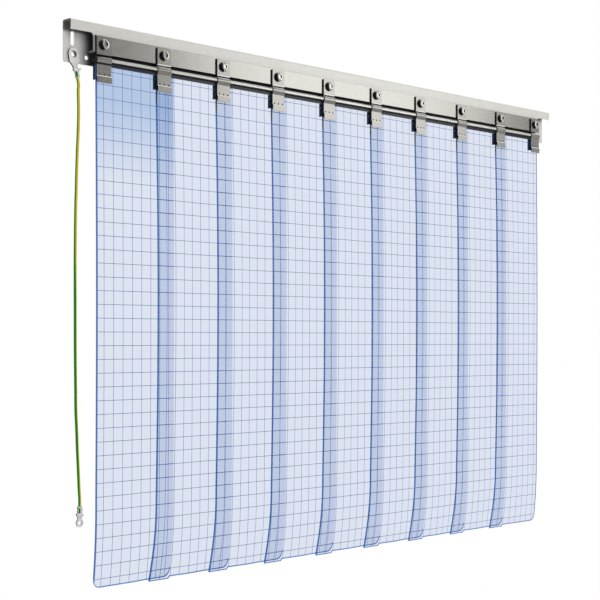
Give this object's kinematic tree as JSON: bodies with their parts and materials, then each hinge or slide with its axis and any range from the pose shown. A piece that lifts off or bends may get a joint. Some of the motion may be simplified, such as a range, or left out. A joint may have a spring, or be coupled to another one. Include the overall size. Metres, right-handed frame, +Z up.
{
  "type": "pvc strip curtain",
  "caption": "Clear plastic strips with a printed grid, lapped and pinched in hinged steel clips under a folded steel rail, with a green and yellow earth lead.",
  "frame": {"origin": "centre of the rail's flat rear face, where it lies on the wall", "axes": "+X along the rail to the right seen from the front, -Y out of the wall towards the viewer, +Z up"},
  "size_m": [1.47, 0.0387, 1.0313],
  "materials": {
    "rail_steel": "satin",
    "profile_steel": "satin",
    "tab_steel": "satin",
    "bolt_steel": "polished",
    "clip_steel": "satin",
    "rear_plate_steel": "satin",
    "clear_vinyl": "clear, glossy, with a printed grid",
    "lug_tin": "tinned",
    "eyelet_steel": "satin",
    "lead_vinyl": "soft sheen, green with a yellow stripe"
  },
  "bodies": {
    "rail_body": {"mounting_rail": "rail_steel", "hanger_profile": "profile_steel", "tab_1": "tab_steel", "tab_2": "tab_steel", "tab_3": "tab_steel", "tab_4": "tab_steel", "tab_5": "tab_steel", "tab_6": "tab_steel", "tab_7": "tab_steel", "tab_8": "tab_steel", "tab_9": "tab_steel", "tab_10": "tab_steel", "bolt_1": "bolt_steel", "bolt_2": "bolt_steel", "bolt_3": "bolt_steel", "bolt_4": "bolt_steel", "bolt_5": "bolt_steel", "bolt_6": "bolt_steel", "bolt_7": "bolt_steel", "bolt_8": "bolt_steel", "bolt_9": "bolt_steel", "bolt_10": "bolt_steel", "earth_eyelet": "eyelet_steel", "earth_lug_upper": "lug_tin", "earth_lead": "lead_vinyl", "earth_lug_lower": "lug_tin"},
    "strip_1_body": {"strip_1": "clear_vinyl", "clip_1": "clip_steel", "rear_plate_2": "rear_plate_steel", "rear_plate_1": "rear_plate_steel"},
    "strip_2_body": {"strip_2": "clear_vinyl", "clip_2": "clip_steel", "rear_plate_3": "rear_plate_steel"},
    "strip_3_body": {"strip_3": "clear_vinyl", "clip_3": "clip_steel", "rear_plate_4": "rear_plate_steel"},
    "strip_4_body": {"strip_4": "clear_vinyl", "clip_4": "clip_steel", "rear_plate_5": "rear_plate_steel"},
    "strip_5_body": {"strip_5": "clear_vinyl", "clip_5": "clip_steel", "rear_plate_6": "rear_plate_steel"},
    "strip_6_body": {"strip_6": "clear_vinyl", "clip_6": "clip_steel", "rear_plate_7": "rear_plate_steel"},
    "strip_7_body": {"strip_7": "clear_vinyl", "clip_7": "clip_steel", "rear_plate_8": "rear_plate_steel"},
    "strip_8_body": {"strip_8": "clear_vinyl", "clip_8": "clip_steel", "rear_plate_9": "rear_plate_steel"},
    "strip_9_body": {"strip_9": "clear_vinyl", "clip_9": "clip_steel", "rear_plate_10": "rear_plate_steel", "clip_10": "clip_steel"}
  },
  "joints": [
    {"name": "strip_5_swing", "type": "hinge", "parent": "rail_body", "child": "strip_5_body", "pos_m": [-0.075, -0.027, -0.0295], "axis": [-1, 0, 0], "range_deg": [-10, 10]},
    {"name": "strip_6_swing", "type": "hinge", "parent": "strip_5_body", "child": "strip_6_body", "pos_m": [0.075, -0.027, -0.0295], "axis": [-1, 0, 0], "range_deg": [0, 10]},
    {"name": "strip_7_swing", "type": "hinge", "parent": "strip_6_body", "child": "strip_7_body", "pos_m": [0.225, -0.027, -0.0295], "axis": [-1, 0, 0], "range_deg": [0, 10]},
    {"name": "strip_8_swing", "type": "hinge", "parent": "strip_7_body", "child": "strip_8_body", "pos_m": [0.375, -0.027, -0.0295], "axis": [-1, 0, 0], "range_deg": [0, 10]},
    {"name": "strip_9_swing", "type": "hinge", "parent": "strip_8_body", "child": "strip_9_body", "pos_m": [0.525, -0.027, -0.0295], "axis": [-1, 0, 0], "range_deg": [0, 10]},
    {"name": "strip_4_swing", "type": "hinge", "parent": "strip_5_body", "child": "strip_4_body", "pos_m": [-0.225, -0.027, -0.0295], "axis": [-1, 0, 0], "range_deg": [-5, 0]},
    {"name": "strip_3_swing", "type": "hinge", "parent": "strip_4_body", "child": "strip_3_body", "pos_m": [-0.375, -0.027, -0.0295], "axis": [-1, 0, 0], "range_deg": [-5, 0]},
    {"name": "strip_2_swing", "type": "hinge", "parent": "strip_3_body", "child": "strip_2_body", "pos_m": [-0.525, -0.027, -0.0295], "axis": [-1, 0, 0], "range_deg": [-5, 0]},
    {"name": "strip_1_swing", "type": "hinge", "parent": "strip_2_body", "child": "strip_1_body", "pos_m": [-0.666, -0.027, -0.0295], "axis": [-1, 0, 0], "range_deg": [-5, 0]}
  ]
}
